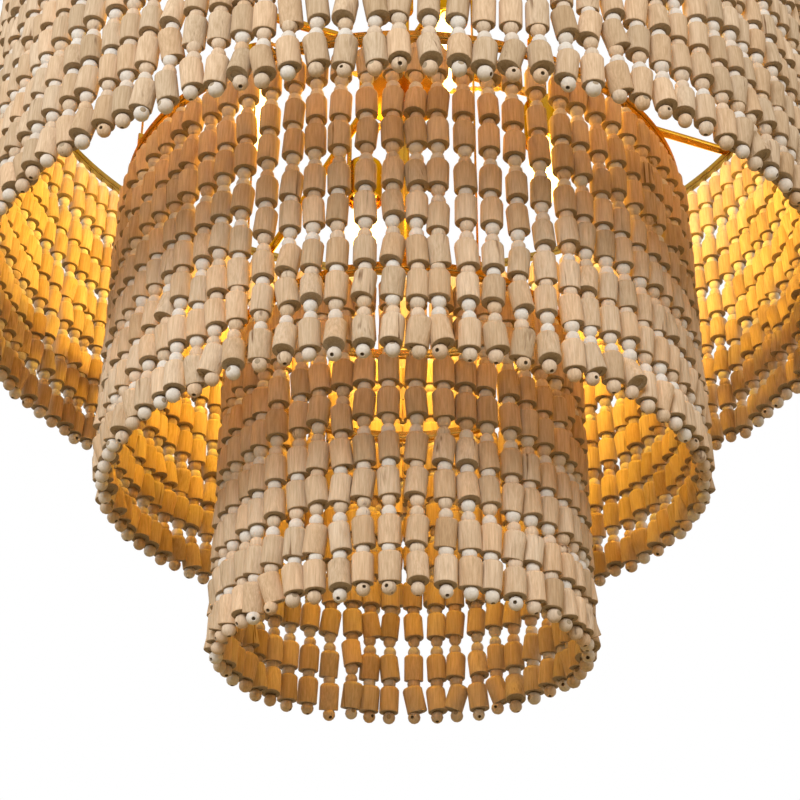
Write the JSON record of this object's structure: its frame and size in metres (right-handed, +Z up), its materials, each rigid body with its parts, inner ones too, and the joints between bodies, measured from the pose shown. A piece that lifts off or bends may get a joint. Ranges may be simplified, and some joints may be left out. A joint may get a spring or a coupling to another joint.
{
  "type": "beaded chandelier",
  "caption": "Tiered round hanging light: brass hoops hung with strings of turned wooden beads around clear candle bulbs, carried by spokes on a centre stem with a loop.",
  "frame": {"origin": "the inner top of the hanging loop, where a hook or chain link bears", "axes": "+Z up along the centre stem; +X to the right in the picture and +Y away from its camera; the loop's eye is open along Y"},
  "size_m": [0.815, 0.815, 0.7818],
  "materials": {
    "bead_wood": "bare whitewashed wood, matt",
    "brass": "satin gold",
    "holder_plastic": "matt",
    "bulb_glass": "clear, lit",
    "lamp_cord": "gold twisted cord"
  },
  "bodies": {
    "root": {"hang_loop": "brass", "loop_collar": "brass", "center_stem": "brass", "spoke_hub": "brass", "spoke_1": "brass", "spoke_2": "brass", "spoke_3": "brass", "spoke_4": "brass", "wiring_cup": "brass", "lower_column": "brass", "hoop_1": "brass", "hoop_2": "brass", "hoop_3": "brass", "tier_2_hanger_1": "brass", "tier_2_hanger_2": "brass", "tier_2_hanger_3": "brass", "tier_2_hanger_4": "brass", "tier_3_hanger_1": "brass", "tier_3_hanger_2": "brass", "tier_3_hanger_3": "brass", "tier_3_hanger_4": "brass", "socket_cup_1": "brass", "socket_cup_2": "brass", "socket_cup_3": "brass", "socket_cup_4": "brass", "lampholder_1": "holder_plastic", "lampholder_2": "holder_plastic", "lampholder_3": "holder_plastic", "lampholder_4": "holder_plastic", "lamp_lead_1": "lamp_cord", "lamp_lead_2": "lamp_cord", "lamp_lead_3": "lamp_cord", "lamp_lead_4": "lamp_cord", "tier_1_strings_1": "bead_wood", "tier_1_strings_2": "bead_wood", "tier_1_strings_3": "bead_wood", "tier_1_strings_4": "bead_wood", "tier_1_strings_5": "bead_wood", "tier_1_strings_6": "bead_wood", "tier_1_strings_7": "bead_wood", "tier_1_strings_8": "bead_wood", "tier_2_strings_1": "bead_wood", "tier_2_strings_2": "bead_wood", "tier_2_strings_3": "bead_wood", "tier_2_strings_4": "bead_wood", "tier_2_strings_5": "bead_wood", "tier_2_strings_6": "bead_wood", "tier_2_strings_7": "bead_wood", "tier_2_strings_8": "bead_wood", "tier_3_strings_1": "bead_wood", "tier_3_strings_2": "bead_wood", "tier_3_strings_3": "bead_wood", "tier_3_strings_4": "bead_wood", "tier_3_strings_5": "bead_wood", "tier_3_strings_6": "bead_wood"},
    "bulb_1": {"bulb_1": "bulb_glass"},
    "bulb_2": {"bulb_2": "bulb_glass"},
    "bulb_3": {"bulb_3": "bulb_glass"},
    "bulb_4": {"bulb_4": "bulb_glass"},
    "thumb_screw": {"column_thumb_screw": "brass"}
  },
  "joints": [
    {"name": "bulb_1_turn", "type": "hinge", "parent": "root", "child": "bulb_1", "pos_m": [0.14515, 0.04162, -0.1838], "axis": [0, 0, 1], "continuous": true},
    {"name": "bulb_2_turn", "type": "hinge", "parent": "root", "child": "bulb_2", "pos_m": [-0.04162, 0.14515, -0.1838], "axis": [0, 0, 1], "continuous": true},
    {"name": "bulb_3_turn", "type": "hinge", "parent": "root", "child": "bulb_3", "pos_m": [-0.14515, -0.04162, -0.1838], "axis": [0, 0, 1], "continuous": true},
    {"name": "bulb_4_turn", "type": "hinge", "parent": "root", "child": "bulb_4", "pos_m": [0.04162, -0.14515, -0.1838], "axis": [0, 0, 1], "continuous": true},
    {"name": "thumb_screw_turn", "type": "hinge", "parent": "root", "child": "thumb_screw", "pos_m": [0.01016, -0.013, -0.362], "axis": [0.6157, -0.788, 0], "continuous": true}
  ]
}
